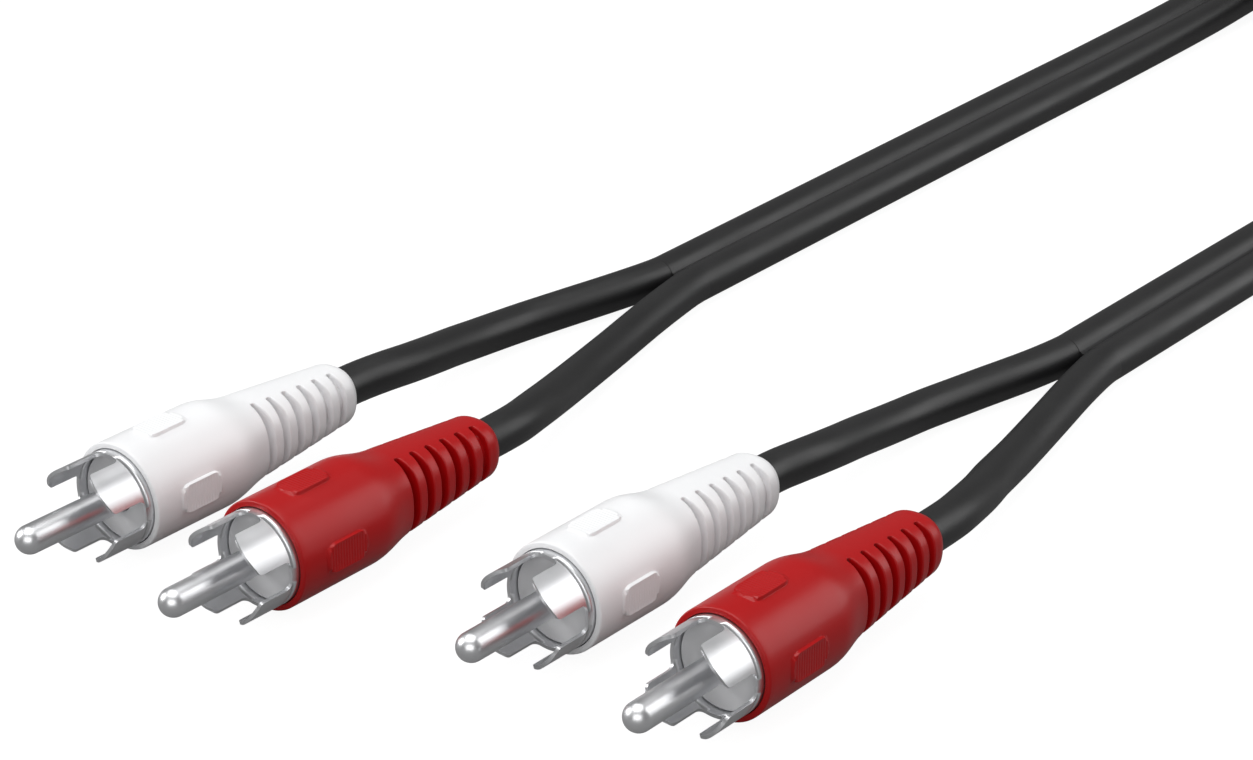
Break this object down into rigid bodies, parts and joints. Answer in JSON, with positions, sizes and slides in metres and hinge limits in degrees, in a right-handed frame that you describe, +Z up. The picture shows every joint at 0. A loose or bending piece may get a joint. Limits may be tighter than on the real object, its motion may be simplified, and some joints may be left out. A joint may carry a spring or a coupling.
{
  "type": "stereo audio cable",
  "caption": "Stereo phono cable: a flat black twin lead that parts at each end into two leads with moulded white and red plugs, wound into a coil.",
  "frame": {"origin": "on the table, under the middle of the box around the four plugs", "axes": "+Y along the plugs, from their pins towards the leads, +X across them, from end A to end B, +Z up from the table"},
  "size_m": [0.1278, 0.3561, 0.017],
  "materials": {
    "white_pvc": "satin moulded",
    "red_pvc": "satin moulded",
    "plated_contact": "bright nickel plate",
    "grey_insulator": "matt moulded",
    "wire_insulation": "natural",
    "copper": "bare twisted strands",
    "black_jacket": "satin extruded",
    "tie_fabric": "woven hook-and-loop strap"
  },
  "bodies": {
    "root": {"white_plug_a_overmould": "white_pvc", "white_plug_a_ground_shell": "plated_contact", "white_plug_a_insulator": "grey_insulator", "white_plug_a_contact_pin": "plated_contact", "white_plug_a_core_wire": "wire_insulation", "white_plug_a_braid_tail": "copper", "red_plug_a_overmould": "red_pvc", "red_plug_a_ground_shell": "plated_contact", "red_plug_a_insulator": "grey_insulator", "red_plug_a_contact_pin": "plated_contact", "red_plug_a_core_wire": "wire_insulation", "red_plug_a_braid_tail": "copper", "white_plug_b_overmould": "white_pvc", "white_plug_b_ground_shell": "plated_contact", "white_plug_b_insulator": "grey_insulator", "white_plug_b_contact_pin": "plated_contact", "white_plug_b_core_wire": "wire_insulation", "white_plug_b_braid_tail": "copper", "red_plug_b_overmould": "red_pvc", "red_plug_b_ground_shell": "plated_contact", "red_plug_b_insulator": "grey_insulator", "red_plug_b_contact_pin": "plated_contact", "red_plug_b_core_wire": "wire_insulation", "red_plug_b_braid_tail": "copper", "white_lead_a": "black_jacket", "red_lead_a": "black_jacket", "white_lead_b": "black_jacket", "red_lead_b": "black_jacket", "twin_lead_a": "black_jacket", "twin_lead_b": "black_jacket", "twin_lead_coil": "black_jacket", "coil_tie": "tie_fabric"}
  },
  "joints": []
}
